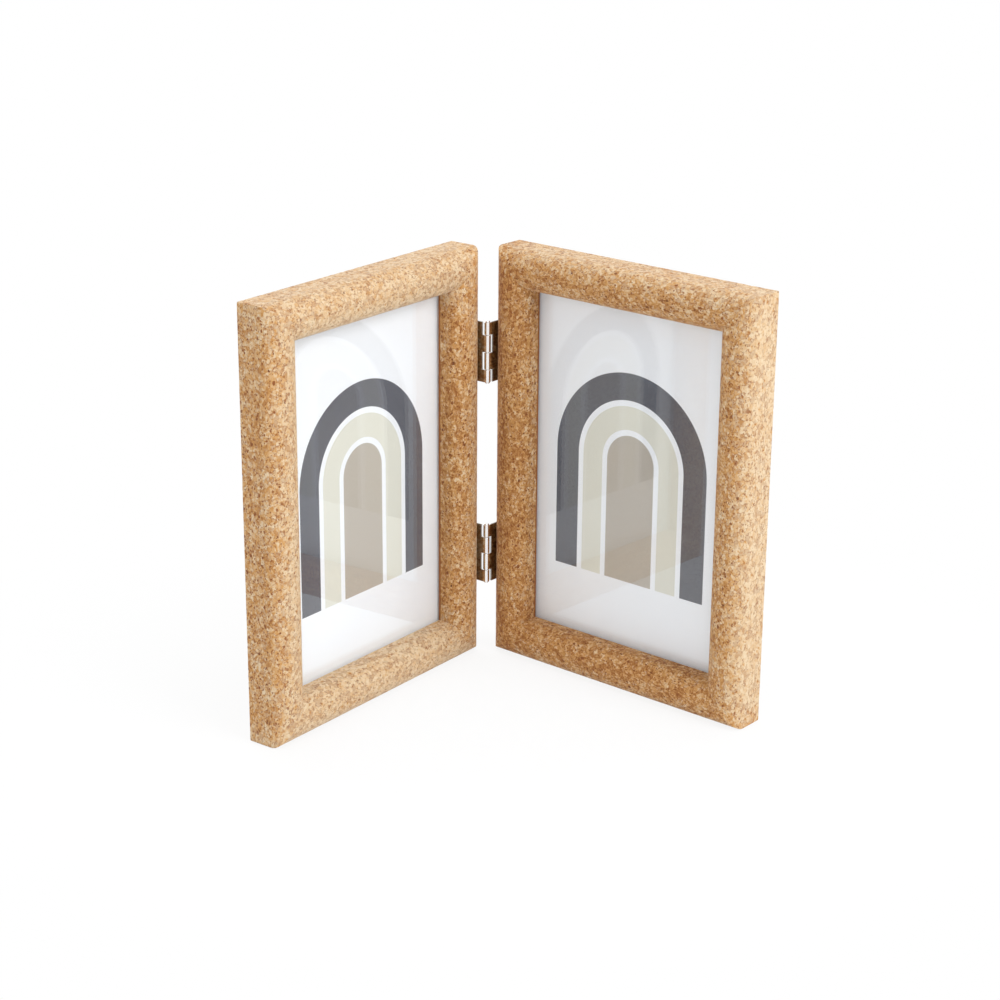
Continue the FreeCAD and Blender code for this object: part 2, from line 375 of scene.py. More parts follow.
def cells(tree, place, scale, **properties):
    """Outputs of a pattern of cells: a distance and each cell's random colour."""
    return node(tree, "ShaderNodeTexVoronoi", {"Vector": place, "Scale": scale}, **properties).outputs


def colour_parts(tree, colour):
    """The three channels of a colour."""
    return node(tree, "ShaderNodeSeparateColor", {0: colour}).outputs


def shader_group(name, inputs, outputs):
    """A new shader group: its tree, what comes in and what goes out."""
    tree = bpy.data.node_groups.new(name, "ShaderNodeTree")
    for label, kind, default in inputs:
        socket = tree.interface.new_socket(label, in_out="INPUT", socket_type="NodeSocket" + kind)
        socket.default_value = default
    for label, kind in outputs:
        tree.interface.new_socket(label, in_out="OUTPUT", socket_type="NodeSocket" + kind)
    return tree, tree.nodes.new("NodeGroupInput").outputs, tree.nodes.new("NodeGroupOutput").inputs


def use_group(tree, name, values):
    """Places a shader group in a material."""
    return node(tree, "ShaderNodeGroup", values, node_tree=bpy.data.node_groups[name]).outputs


def solid(colour):
    """A colour with full alpha."""
    return (*colour, 1.0)


def darker(colour, share):
    """A colour at a share of its strength."""
    return tuple(channel * share for channel in colour)


def finish_material(name):
    """A new material: its tree and its main shader."""
    material = bpy.data.materials.new(name)
    material.use_nodes = True
    return material, material.node_tree, material.node_tree.nodes["Principled BSDF"]


def show_blend(tree, share, first, second):
    """Makes a blend of two shaders the material's surface."""
    mixed = node(tree, "ShaderNodeMixShader", {0: share, 1: first.outputs[0], 2: second.outputs[0]})
    tree.links.new(mixed.outputs[0], tree.nodes["Material Output"].inputs["Surface"])


# Cork's grain in millimetres: how it is drawn out along the member, and how far it sways

DRAWN_OUT = (0.8, 1.0, 1.0)
SWAY = (1.1, 1.1, 1.1)

# Scales of its noises, in waves to a millimetre, and of the small granules against the large ones

SWAY_SCALE, FIBRE_SCALE, MOTTLE_SCALE, PATCH_SCALE = 0.8, 1.5, 0.12, 0.75
SMALL_GRANULES = 2.2

# How much each layer of the grain adds to its tone, their usual sum, and the tone that this sum gives

LARGE_SHARE, SMALL_SHARE, FIBRE_SHARE, MOTTLE_SHARE = 0.19, 0.22, 0.33, 0.22
USUAL_SUM = 0.48
USUAL_TONE = 0.565

# Painted light and shade: the tone of a shaded member and of a lit one, with the grain's contrast at each,
# lower where painted light washes it out

DARK_TONE, PALE_TONE = -0.07, 0.13
DARK_CONTRAST, PALE_CONTRAST = 1.45, 0.62

# Tones between which brown turns to tan and tan to cream, with the largest share of cream

BROWN_TO_TAN = (0.10, 0.50)
TAN_TO_CREAM = (0.40, 0.86)
MOST_CREAM = 0.70

# Which granules are ruddy, on a scale from 0 to 1, and how much brown they take on

RUDDY = (0.72, 0.80)
MOST_RUDDY = 0.30

# Seams: how far they reach into a granule, where they show in the noise of patches, and how brown they are

SEAM_REACH = 0.13
SEAM_PATCHES = (0.47, 0.60)
SEAM_SHARE = 0.75

# Bark specks in three sizes: scale against the granules, share without a speck, least reach and its spread

SPECKS = ((2.0, 0.75, 0.22, 0.20), (1.3, 0.74, 0.17, 0.25), (0.72, 0.84, 0.15, 0.22))

# The rim over which a speck fades, its faintest depth and how much deeper it can be, and bark's turn to brown

SPECK_RIM = (-0.03, 0.06)
LEAST_SPECK, SPECK_SPREAD = 0.6, 0.4
BARK_TO_BROWN = (0.30, 0.55)

# Height at tone 0, and what the tone, a seam and a speck add to it

BASE_HEIGHT = 0.5
TONE_HEIGHT, SEAM_HEIGHT, SPECK_HEIGHT = 0.35, -0.5, -0.8

# Two tones and the roughness at each

ROUGH_TONES = (0.2, 0.9)
ROUGH_VALUES = (0.85, 0.68)


def cork_grain_group():
    """Agglomerated cork: granules of random tone and hue, short brown seams between them and specks of bark.

    The Tone input carries painted light and shade: cork painted pale with light is more even, and cork
    painted dark with shade has more contrast and stronger specks. The place is in millimetres: along the
    member, from front to back, and from the outer edge inwards.
    """
    inputs = (
        ("Place", "Vector", (0, 0, 0)), ("Granule", "Float", 1.0), ("Tone", "Float", 0.0),
        ("Cream", "Color", (1, 1, 1, 1)), ("Tan", "Color", (1, 1, 1, 1)),
        ("Brown", "Color", (1, 1, 1, 1)), ("Bark", "Color", (1, 1, 1, 1)),
    )
    outputs = (("Color", "Color"), ("Height", "Float"), ("Roughness", "Float"))
    tree, given, result = shader_group("Cork grain", inputs, outputs)
    place = vector_sums(tree, "MULTIPLY", given["Place"], DRAWN_OUT)
    unit = sums(tree, "DIVIDE", 1.0, given["Granule"])
    sway = vector_sums(tree, "SUBTRACT", noise(tree, place, SWAY_SCALE, detail=3.0)["Color"], (0.5, 0.5, 0.5))
    bent = vector_sums(tree, "MULTIPLY_ADD", sway, SWAY, place)

    large = colour_parts(tree, cells(tree, bent, unit)["Color"])
    small = colour_parts(tree, cells(tree, bent, sums(tree, "MULTIPLY", unit, SMALL_GRANULES))["Color"])
    fibre = noise(tree, bent, FIBRE_SCALE, detail=4.0, roughness=0.7)[0]
    mottle = noise(tree, place, MOTTLE_SCALE, detail=2.0)[0]
    varied = sums(tree, "MULTIPLY_ADD", large[0], LARGE_SHARE, -USUAL_SUM)
    varied = sums(tree, "MULTIPLY_ADD", small[1], SMALL_SHARE, varied)
    varied = sums(tree, "MULTIPLY_ADD", fibre, FIBRE_SHARE, varied)
    varied = sums(tree, "MULTIPLY_ADD", mottle, MOTTLE_SHARE, varied)
    # The grain's contrast follows the painted light: lower on lit cork, higher on shaded cork
    contrast = ramp_between(
        tree, given["Tone"], DARK_TONE, PALE_TONE, DARK_CONTRAST, PALE_CONTRAST, smooth=False)
    tone = sums(tree, "MULTIPLY_ADD", varied, contrast, sums(tree, "ADD", given["Tone"], USUAL_TONE))

    low = ramp_between(tree, tone, *BROWN_TO_TAN)
    high = ramp_between(tree, tone, *TAN_TO_CREAM, 0.0, MOST_CREAM)
    colour = blend_colours(tree, low, given["Brown"], given["Tan"])
    colour = blend_colours(tree, high, colour, given["Cream"])
    ruddy = ramp_between(tree, large[1], *RUDDY, 0.0, MOST_RUDDY)
    colour = blend_colours(tree, ruddy, colour, given["Brown"])

    seam = cells(tree, bent, unit, feature="DISTANCE_TO_EDGE")["Distance"]
    close = ramp_between(tree, seam, 0.0, SEAM_REACH, 1.0, 0.0)
    patch = ramp_between(tree, noise(tree, place, PATCH_SCALE, detail=2.0)[0], *SEAM_PATCHES)
    seam_mask = sums(tree, "MULTIPLY", close, patch)
    colour = blend_colours(tree, sums(tree, "MULTIPLY", seam_mask, SEAM_SHARE), colour, given["Brown"])

    speck_mask = 0.0
    for scale, bare, least, spread in SPECKS:
        speck = cells(tree, bent, sums(tree, "MULTIPLY", unit, scale))
        parts = colour_parts(tree, speck["Color"])
        chosen = sums(tree, "GREATER_THAN", parts[2], bare)
        reach = sums(tree, "MULTIPLY_ADD", parts[0], spread, least)
        beyond = sums(tree, "SUBTRACT", reach, speck["Distance"])
        inside = sums(tree, "MULTIPLY", chosen, ramp_between(tree, beyond, *SPECK_RIM))
        depth = sums(tree, "MULTIPLY_ADD", parts[1], SPECK_SPREAD, LEAST_SPECK)
        speck_mask = sums(tree, "MAXIMUM", speck_mask, sums(tree, "MULTIPLY", inside, depth))
    speck_mask = sums(tree, "MINIMUM", sums(tree, "MULTIPLY", speck_mask, contrast), 1.0)
    bark = blend_colours(tree, ramp_between(tree, fibre, *BARK_TO_BROWN), given["Bark"], given["Brown"])
    tree.links.new(blend_colours(tree, speck_mask, colour, bark), result["Color"])

    height = sums(tree, "MULTIPLY_ADD", tone, TONE_HEIGHT, BASE_HEIGHT)
    height = sums(tree, "MULTIPLY_ADD", seam_mask, SEAM_HEIGHT, height)
    height = sums(tree, "MULTIPLY_ADD", speck_mask, SPECK_HEIGHT, height)
    tree.links.new(height, result["Height"])
    tree.links.new(ramp_between(tree, tone, *ROUGH_TONES, *ROUGH_VALUES), result["Roughness"])


# Wear: how much finer the scratches are than the mottling, and where in their mean the dull colour comes in

STREAK_SCALE = 4.0
DULLING = (0.38, 0.62)


def fine_wear_group():
    """Even mottling with short fine scratches, for plated metal and boards."""
    inputs = (
        ("Place", "Vector", (0, 0, 0)), ("Stretch", "Vector", (1, 1, 1)), ("Scale", "Float", 1.0),
        ("Colour", "Color", (1, 1, 1, 1)), ("Dull colour", "Color", (0, 0, 0, 1)),
        ("Low roughness", "Float", 0.2), ("High roughness", "Float", 0.4),
    )
    outputs = (("Color", "Color"), ("Roughness", "Float"), ("Height", "Float"))
    tree, given, result = shader_group("Fine wear", inputs, outputs)
    drawn = vector_sums(tree, "MULTIPLY", given["Place"], given["Stretch"])
    cloud = noise(tree, given["Place"], given["Scale"], detail=3.0)[0]
    streak = noise(tree, drawn, sums(tree, "MULTIPLY", given["Scale"], STREAK_SCALE), detail=2.0)[0]
    mean = sums(tree, "MULTIPLY_ADD", cloud, 0.5, sums(tree, "MULTIPLY", streak, 0.5))
    worn = ramp_between(tree, mean, *DULLING)
    tree.links.new(blend_colours(tree, worn, given["Colour"], given["Dull colour"]), result["Color"])
    span = sums(tree, "SUBTRACT", given["High roughness"], given["Low roughness"])
    tree.links.new(sums(tree, "MULTIPLY_ADD", worn, span, given["Low roughness"]), result["Roughness"])
    tree.links.new(streak, result["Height"])


def arch_band(tree, across, height, outer, inner, legs, edge):
    """Mask of one band of an arch: a half ring on two legs. Inner 0 gives a filled arch."""
    lifted = sums(tree, "MAXIMUM", height, 0.0)
    wide = sums(tree, "POWER", across, 2.0)
    tall = sums(tree, "POWER", lifted, 2.0)
    away = sums(tree, "SQRT", sums(tree, "ADD", wide, tall))
    mask = ramp_between(tree, away, outer - edge, outer + edge, 1.0, 0.0)
    mask = sums(tree, "MULTIPLY", mask, ramp_between(tree, height, -legs - edge, -legs + edge))
    if inner:
        mask = sums(tree, "MULTIPLY", mask, ramp_between(tree, away, inner - edge, inner + edge))
    return mask


# Materials

def cork_material():
    """Cork, from each member's own place in the block that it was cut from."""
    s = settings().cork
    material, tree, shader = finish_material("Cork")
    place = node(tree, "ShaderNodeAttribute", attribute_name="cork_place").outputs["Vector"]
    # The tone attribute carries painted light and shade: on each member, in its pores and at the hinge
    # stile's lip
    tone = node(tree, "ShaderNodeAttribute", attribute_name="cork_tone").outputs["Fac"]
    grain = use_group(tree, "Cork grain", {
        "Place": place, "Granule": s.granule / MM, "Tone": tone, "Cream": solid(s.cream),
        "Tan": solid(s.tan), "Brown": solid(s.brown), "Bark": solid(s.bark),
    })
    bump = node(tree, "ShaderNodeBump", {"Height": grain["Height"], "Strength": 0.35, "Distance": 0.12 * MM})
    fill_inputs(tree, shader, {
        "Base Color": grain["Color"], "Roughness": grain["Roughness"], "Normal": bump.outputs[0],
        "Specular IOR Level": 0.35, "Sheen Weight": 0.12, "Sheen Roughness": 0.5,
        "Sheen Tint": (1.0, 0.96, 0.9, 1),
    })
    return material


def glass_material():
    """Clear float glass that lets the lamps through to the card."""
    material, tree, shader = finish_material("Clear glass")
    fill_inputs(tree, shader, {
        "Base Color": (0.985, 0.995, 0.99, 1), "Transmission Weight": 1.0, "Roughness": 0.0, "IOR": 1.5,
    })
    path = node(tree, "ShaderNodeLightPath").outputs
    shadow = sums(tree, "MAXIMUM", path["Is Shadow Ray"], path["Is Diffuse Ray"])
    clear = node(tree, "ShaderNodeBsdfTransparent", {"Color": (0.985, 0.99, 0.99, 1)})
    show_blend(tree, shadow, shader, clear)
    return material


# The printed arches, outermost first: ink, outer and inner radius in millimetres, and the blur of their edges

ARCHES = (("slate", 38.5, 27.0), ("sage", 24.5, 14.5), ("taupe", 12.0, 0.0))
ARCH_EDGE = 0.08

# Tooth of the card: waves to a millimetre, then where and how much it shades bare card and thins the inks

TOOTH_SCALE = 0.9
SHADED_TOOTH, CARD_SHADE = (0.3, 0.7), 0.99
THINNED_TOOTH, THINNEST_INK = (0.25, 0.75), 0.965


def print_material():
    """Uncoated card printed with three nested arches in flat inks."""
    s = settings().prints
    material, tree, shader = finish_material("Printed card")
    uv = node(tree, "ShaderNodeUVMap", uv_map="surface").outputs[0]
    parts = node(tree, "ShaderNodeSeparateXYZ", {0: uv}).outputs
    card_width = (BACKING[1][0] - BACKING[0][0]) / MM
    card_height = (BACKING[1][2] - BACKING[0][2]) / MM
    across = sums(tree, "MULTIPLY", sums(tree, "SUBTRACT", parts[0], 0.5), card_width)
    height = sums(tree, "MULTIPLY_ADD", parts[1], card_height, -card_height / 2 - s.arch_centre / MM)
    place = node(tree, "ShaderNodeCombineXYZ", {0: across, 1: height}).outputs[0]
    tooth = noise(tree, place, TOOTH_SCALE, detail=3.0)[0]
    shaded = ramp_between(tree, tooth, *SHADED_TOOTH)
    colour = blend_colours(tree, shaded, solid(s.paper), solid(darker(s.paper, CARD_SHADE)))
    thinned = ramp_between(tree, tooth, *THINNED_TOOTH, 1.0, THINNEST_INK)
    for ink, outer, inner in ARCHES:
        mask = arch_band(tree, across, height, outer, inner, s.arch_legs / MM, ARCH_EDGE)
        colour = blend_colours(tree, sums(tree, "MULTIPLY", mask, thinned), colour, solid(getattr(s, ink)))
    bump = node(tree, "ShaderNodeBump", {"Height": tooth, "Strength": 0.1, "Distance": 0.01 * MM})
    fill_inputs(tree, shader, {"Base Color": colour, "Normal": bump.outputs[0], "Roughness": 0.6})
    return material


# From metres to millimetres, for all three coordinates

PER_MM = (1 / MM, 1 / MM, 1 / MM)


def worn_material(name, colour, dull, low, high, scale, stretch, metallic, bump_height):
    """A plated or pressed surface that varies a little in colour, gloss and height."""
    material, tree, shader = finish_material(name)
    place = node(tree, "ShaderNodeTexCoord").outputs["Object"]
    wear = use_group(tree, "Fine wear", {
        "Place": vector_sums(tree, "MULTIPLY", place, PER_MM), "Stretch": stretch, "Scale": scale,
        "Colour": solid(colour), "Dull colour": solid(dull), "Low roughness": low, "High roughness": high,
    })
    bump = node(tree, "ShaderNodeBump", {"Height": wear["Height"], "Strength": 0.4, "Distance": bump_height})
    fill_inputs(tree, shader, {
        "Base Color": wear["Color"], "Roughness": wear["Roughness"], "Normal": bump.outputs[0],
        "Metallic": metallic,
    })
    return material


# Distances from the fold's axis, in millimetres, between which the bright barrel gives way to the leaves'
# painted shade

BRIGHT_BARREL_END, SHADED_LEAF_START = 1.42, 1.75


def hinge_material():
    """Nickel plate, bright on the barrels, with painted shade on the leaves for the shaded cork they reflect.
    """
    s = settings().metal
    material, tree, shader = finish_material("Nickel plate")
    place = node(tree, "ShaderNodeTexCoord").outputs["Object"]
    across = vector_sums(tree, "SUBTRACT", place, tuple(FOLD_PLACE))
    across = vector_sums(tree, "MULTIPLY", across, (1 / MM, 1 / MM, 0))
    away = node(tree, "ShaderNodeVectorMath", {0: across}, operation="LENGTH").outputs["Value"]
    # Painted shade: away from the barrels the plate turns to the darker leaf colour
    barrel = ramp_between(tree, away, BRIGHT_BARREL_END, SHADED_LEAF_START, 1.0, 0.0)
    wear = use_group(tree, "Fine wear", {
        "Place": vector_sums(tree, "MULTIPLY", place, PER_MM), "Stretch": (1, 1, 0.1),
        "Scale": 0.5, "Colour": solid(s.shaded_leaf_nickel), "Dull colour": solid(darker(s.shaded_leaf_nickel, 0.85)),
        "Low roughness": 0.12, "High roughness": 0.24,
    })
    bump = node(tree, "ShaderNodeBump", {"Height": wear["Height"], "Strength": 0.3, "Distance": 0.004 * MM})
    fill_inputs(tree, shader, {
        "Base Color": blend_colours(tree, barrel, wear["Color"], solid(s.nickel)),
        "Roughness": wear["Roughness"], "Normal": bump.outputs[0], "Metallic": 1.0,
    })
    return material


# Mouldings

def stretch_points(start, end, step):
    """Points from start up to but not including end, spaced by about a step."""
    start, end = np.asarray(start, float), np.asarray(end, float)
    count = max(2, math.ceil(np.linalg.norm(end - start) / step))
    share = np.arange(count)[:, None] / count
    return start + (end - start) * share


def quarter_points(centre, first, second, step):
    """Points on a quarter ellipse: centre + first cos t + second sin t, for t from 0 up to a quarter turn."""
    centre, first, second = (np.asarray(v, float) for v in (centre, first, second))
    length = (np.linalg.norm(first) + np.linalg.norm(second)) * math.pi / 4
    count = max(4, math.ceil(length / step))
    turn = (np.arange(count) / count * math.pi / 2)[:, None]
    return centre + first * np.cos(turn) + second * np.sin(turn)


# How rough the cork is on the open faces, on the lip, on the seat of the pane and on the rabbet's side

OPEN_ROUGH, LIP_ROUGH, SEAT_ROUGH, RABBET_ROUGH = 1.0, 0.7, 0.0, 0.3

# How many times wider the grid's steps are in the rabbet

RABBET_STEPS = 3


def moulding_section(s):
    """Closed section as rows of (depth, inward), with how rough each row is.

    It runs from the outer back edge over the outer side, the rounded front, the lip, the rabbet and the back.
    """
    half = FACE_WIDTH / 2
    edge = s.back_edge
    lip = LIP_DEPTH - SKIN
    inner = FACE_WIDTH - s.rabbet_width
    crest_centre = (s.round_depth, half)
    stretches = (
        (stretch_points((FRAME_DEPTH - edge, 0), (s.round_depth, 0), s.step), OPEN_ROUGH),
        (quarter_points(crest_centre, (0, -half), (-s.round_depth, 0), s.step), OPEN_ROUGH),
        (quarter_points(crest_centre, (-s.round_depth, 0), (0, half), s.step), OPEN_ROUGH),
        (stretch_points((s.round_depth, FACE_WIDTH), (lip, FACE_WIDTH), s.step), LIP_ROUGH),
        (stretch_points((lip, FACE_WIDTH), (lip, inner), RABBET_STEPS * s.step), SEAT_ROUGH),
        (stretch_points((lip, inner), (FRAME_DEPTH, inner), RABBET_STEPS * s.step), RABBET_ROUGH),
        (stretch_points((FRAME_DEPTH, inner), (FRAME_DEPTH, edge), s.step), OPEN_ROUGH),
        (quarter_points((FRAME_DEPTH - edge, edge), (edge, 0), (0, -edge), s.step / 2), OPEN_ROUGH),
    )
    points = np.concatenate([rows for rows, _ in stretches])
    rough = np.concatenate([np.full(len(rows), share) for rows, share in stretches])
    return points, rough


def section_normals(points):
    """Unit normals of a closed section, pointing out of it: the chord between neighbours, turned."""
    chord = np.roll(points, -1, 0) - np.roll(points, 1, 0)
    normal = np.stack((chord[:, 1], -chord[:, 0]), -1)
    normal /= np.linalg.norm(normal, axis=1)[:, None]
    area = np.sum(points[:, 0] * np.roll(points[:, 1], -1) - np.roll(points[:, 0], -1) * points[:, 1])
    return normal if area > 0 else -normal


# Waviness of the surface: how many plane waves, their lengths in millimetres, and how steeply it turns

WAVES = 48
WAVE_LENGTHS = (1.6, 5.0)
WAVE_STEEPNESS = 1.6


def granule_relief(place, rng):
    """Waviness from 0 to 1: a sum of plane waves with random directions, lengths and phases."""
    direction = rng.normal(size=(3, WAVES))
    direction /= np.linalg.norm(direction, axis=0)
    length = rng.uniform(*WAVE_LENGTHS, WAVES) * MM
    phase = rng.uniform(0, 2 * math.pi, WAVES)
    total = np.zeros(place.shape[:-1])
    for index in range(WAVES):
        total += np.sin(place @ direction[:, index] * (2 * math.pi / length[index]) + phase[index])
    total /= math.sqrt(WAVES / 2)
    return 1 / (1 + np.exp(-WAVE_STEEPNESS * total))


# Open pores: how many for each millimetre of a member, radii in millimetres, and how much painted shade
# darkens them

PORES_PER_MM = 1.6
PORE_RADII = (0.35, 0.75)
PORE_SHADE = 0.3


def pore_depth(place, rng, count):
    """Depth of open pores from 0 to 1: the deepest of many small round dimples at random places.

    At r times its radius a dimple's depth is exp(-2 r r), which is as good as nothing beyond r = 2.
    """
    flat = place.reshape(-1, 3)
    chosen = flat[rng.integers(0, len(flat), count)]
    radius = rng.uniform(*PORE_RADII, count) * MM
    depth = np.zeros(len(flat))
    for centre, reach in zip(chosen, radius):
        close = np.flatnonzero(np.abs(flat[:, 0] - centre[0]) < 2 * reach)
        away = np.linalg.norm(flat[close] - centre, axis=1) / reach
        depth[close] = np.maximum(depth[close], np.exp(-away ** 2 * 2))
    return depth.reshape(place.shape[:-1])


def end_reach(value, size, radius):
    """How far a coordinate reaches into the last radius at either end of a size, negative at the low end."""
    away = value - size / 2
    return np.sign(away) * np.maximum(np.abs(away) - size / 2 + radius, 0)


def rounded_corners(across, height, radius):
    """Rounds the outline's corners: a square in each corner is drawn in to a quarter circle.

    A point at (a, b) from the square's inner corner goes to (a, b) max(|a|, |b|) / |(a, b)|.
    """
    a = end_reach(across, FRAME_WIDTH, radius)
    b = end_reach(height, FRAME_HEIGHT, radius)
    share = np.maximum(np.abs(a), np.abs(b)) / np.maximum(np.hypot(a, b), 1e-9)
    share = np.where(np.minimum(np.abs(a), np.abs(b)) > 0, share, 1)
    return across - a * (1 - share), height - b * (1 - share)


def member_place(side, member, along, depth, inward):
    """A point of a member, from along, depth and inward to the scene, with the frame's corners rounded."""
    across, height = {
        "bottom_rail": (along, inward),
        "top_rail": (FRAME_WIDTH - along, FRAME_HEIGHT - inward),
        "hinge_stile": (inward, FRAME_HEIGHT - along),
        "outer_stile": (FRAME_WIDTH - inward, along),
    }[member]
    across, height = rounded_corners(across, height, settings().cork.corner_round)
    return placed(side, across, depth, height)


# Painted light and shade: how pale each member's cork is painted, paler where lit and darker where shaded,
# on its outer side, at its crest and at its inner edge

PAINTED_LIGHT_TONES = {
    ("left", "bottom_rail"): (0.20, 0.13, 0.14), ("left", "top_rail"): (0.10, 0.11, 0.20),
    ("left", "hinge_stile"): (-0.03, -0.01, -0.12), ("left", "outer_stile"): (-0.02, 0.12, 0.12),
    ("right", "bottom_rail"): (-0.04, -0.13, -0.15), ("right", "top_rail"): (0.09, -0.085, -0.045),
    ("right", "hinge_stile"): (-0.22, -0.17, -0.10), ("right", "outer_stile"): (0.14, -0.05, -0.02),
}

# The member that each member meets at its start and at its end

NEIGHBOURS = {
    "bottom_rail": ("hinge_stile", "outer_stile"), "top_rail": ("outer_stile", "hinge_stile"),
    "hinge_stile": ("top_rail", "bottom_rail"), "outer_stile": ("bottom_rail", "top_rail"),
}


def eased_share(value, low, high):
    """How far a value is from low to high, 0 to 1, with a smooth start and end."""
    share = np.clip((value - low) / (high - low), 0, 1)
    return share * share * (3 - 2 * share)


def painted_light_tone(side, member, place, length):
    """Painted light and shade across a member, eased at each mitre into the mean with its neighbour."""
    along, inward = place[..., 0], place[..., 2]

    def painted_light_across(name):
        return np.interp(inward, (0, FACE_WIDTH / 2, FACE_WIDTH), PAINTED_LIGHT_TONES[side, name])

    own = painted_light_across(member)
    tone = own
    for neighbour, away in zip(NEIGHBOURS[member], (along - inward, length - inward - along)):
        near = 1 - eased_share(away, 0, settings().cork.painted_light_blend)
        tone = tone + near * (painted_light_across(neighbour) - own) / 2
    return tone


# How far along, back and in a member may lie in the block of cork, in metres, and the first member's seed

BLOCK_REACH = 0.5
FIRST_SEED = 100


def moulding(side, member, seed):
    """One mitred moulding: the section carried along it, with ends cut on the mitre planes.

    A point at share t of the length lies at inward + t (length - 2 inward), so both ends are at 45 degrees.
    """
    s = settings().cork
    rng = np.random.default_rng(seed)
    length = FRAME_WIDTH if member.endswith("rail") else FRAME_HEIGHT
    section, rough = moulding_section(s)
    normal = section_normals(section)
    rings = math.ceil(length / s.step) + 1
    share = np.linspace(0, 1, rings)[:, None]
    depth = np.broadcast_to(section[:, 0], (rings, len(section)))
    inward = np.broadcast_to(section[:, 1], depth.shape)
    along = inward + share * (length - 2 * inward)
    place = np.stack((along, depth, inward), -1)
    pores = pore_depth(place, rng, int(length / MM * PORES_PER_MM))
    sink = (s.relief * granule_relief(place, rng) + s.pit_depth * pores) * rough + SKIN
    depth = depth - sink * normal[:, 0]
    inward = inward - sink * normal[:, 1]
    along = inward + share * (length - 2 * inward)
    points = member_place(side, member, along, depth, inward)
    grain = (place + rng.uniform(0, BLOCK_REACH, 3)) / MM
    # Painted light and shade on the member, and painted shade in its open pores
    tone = painted_light_tone(side, member, place, length) - PORE_SHADE * pores
    # Painted shade: a dark line on the hinge stile's lip where it meets the pane
    if member == "hinge_stile":
        at_pane = (place[..., 1] > LIP_DEPTH - s.lip_shade_reach) & (place[..., 2] > FACE_WIDTH - s.step)
        tone = tone - s.lip_shade * at_pane
    attributes = {"cork_place": ("FLOAT_VECTOR", grain), "cork_tone": ("FLOAT", tone)}
    piece = mesh_piece(f"{side}_{member}_cork", points, tube_faces(rings, len(section)), attributes)
    soften(piece, CORK_SHARP_ANGLE)
    return piece


# Sheets in the rabbet

# Squares across a sheet, and as many up it

CARD_STEPS = 24


def card(side, name, front_gap):
    """A thin sheet in a node's place, laid out for a picture, with its front moved back by a gap."""
    lo, hi = own_box(side, name)
    steps = CARD_STEPS
    across = np.linspace(lo[0], hi[0], steps + 1)
    heights = np.linspace(lo[2], hi[2], steps + 1)
    x, z = np.meshgrid(across, heights, indexing="ij")
    front = placed(side, x, np.full_like(x, lo[1] + front_gap), z).reshape(-1, 3)
    rear = placed(side, x, np.full_like(x, hi[1] - SKIN), z).reshape(-1, 3)
    share_x = (x - lo[0]) / (hi[0] - lo[0])
    if side == "left":
        share_x = 1 - share_x
    share_z = (z - lo[2]) / (hi[2] - lo[2])
    uv = np.stack((share_x, share_z), -1).reshape(-1, 2)
    row = steps + 1
    first = (np.arange(steps)[:, None] * row + np.arange(steps)[None, :]).ravel()
    quads = np.stack((first, first + 1, first + row + 1, first + row), -1)
    count = row * row
    rim = np.concatenate((
        np.arange(0, row - 1), np.arange(row - 1, count - 1, row),
        np.arange(count - 1, count - row, -1), np.arange(count - row, 0, -row),
    ))
    after = np.roll(rim, -1)
    walls = np.stack((rim, after, after + count, rim + count), -1)
    faces = np.concatenate((quads, quads[:, ::-1] + count, walls)).tolist()
    points = np.concatenate((front, rear))
    return mesh_piece(f"{side}_{name}_card", points, faces, uv=np.concatenate((uv, uv)))


# Floor, light and camera

FLOOR_REACH = 6.0
FLOOR_GAP = 0.05 * MM

# Where the floor's fade to white starts and ends, in metres from its middle, and how white it is at the start

FADE_START, FADE_END = 0.08, 0.26
NEAR_WHITE = 0.86

# Light of the surroundings

COOL_WHITE = (0.965, 0.98, 1.0)

# Square lamps: name, place and width in metres

LAMPS = (
    ("Key", (0.75, -0.75, 0.75), 0.7), ("Top", (0.1, 0.0, 1.2), 0.9),
    ("Fill", (-0.9, -0.9, 0.5), 0.8), ("Back", (-0.5, 0.8, 0.6), 0.7),
)


def seen_directly(tree):
    """1 for rays from the camera, from glossy surfaces and through glass, else 0."""
    path = node(tree, "ShaderNodeLightPath").outputs
    seen = sums(tree, "MAXIMUM", path["Is Camera Ray"], path["Is Glossy Ray"])
    return sums(tree, "MAXIMUM", seen, path["Is Transmission Ray"])


def make_floor():
    """A wide pale floor that fades to white away from the object and keeps a faint shadow."""
    points = FLOOR_REACH * np.array(((-1, -1, 0), (1, -1, 0), (1, 1, 0), (-1, 1, 0)), float)
    points[:, 2] = -FLOOR_GAP
    floor = mesh_piece("floor", points, [(0, 1, 2, 3)])
    material, tree, shader = finish_material("Pale floor")
    fill_inputs(tree, shader, {
        "Base Color": (0.9, 0.9, 0.9, 1), "Roughness": 0.9, "Specular IOR Level": 0.1,
    })
    white = node(tree, "ShaderNodeEmission", {"Strength": 1.0})
    place = node(tree, "ShaderNodeTexCoord").outputs["Object"]
    away = node(tree, "ShaderNodeVectorMath", {0: place}, operation="LENGTH").outputs["Value"]
    fade = ramp_between(tree, away, FADE_START, FADE_END, NEAR_WHITE, 1.0)
    share = sums(tree, "MULTIPLY", fade, seen_directly(tree))
    show_blend(tree, share, shader, white)
    floor.data.materials.append(material)


def light_world(strength):
    """Even light of a slightly cool white, seen as plain white."""
    world = bpy.data.worlds.new("Studio")
    world.use_nodes = True
    tree = world.node_tree
    seen = seen_directly(tree)
    level = ramp_between(tree, seen, 0.0, 1.0, strength, 1.0, smooth=False)
    tint = blend_colours(tree, seen, solid(COOL_WHITE), (1, 1, 1, 1))
    fill_inputs(tree, tree.nodes["Background"], {"Color": tint, "Strength": level})
    bpy.context.scene.world = world


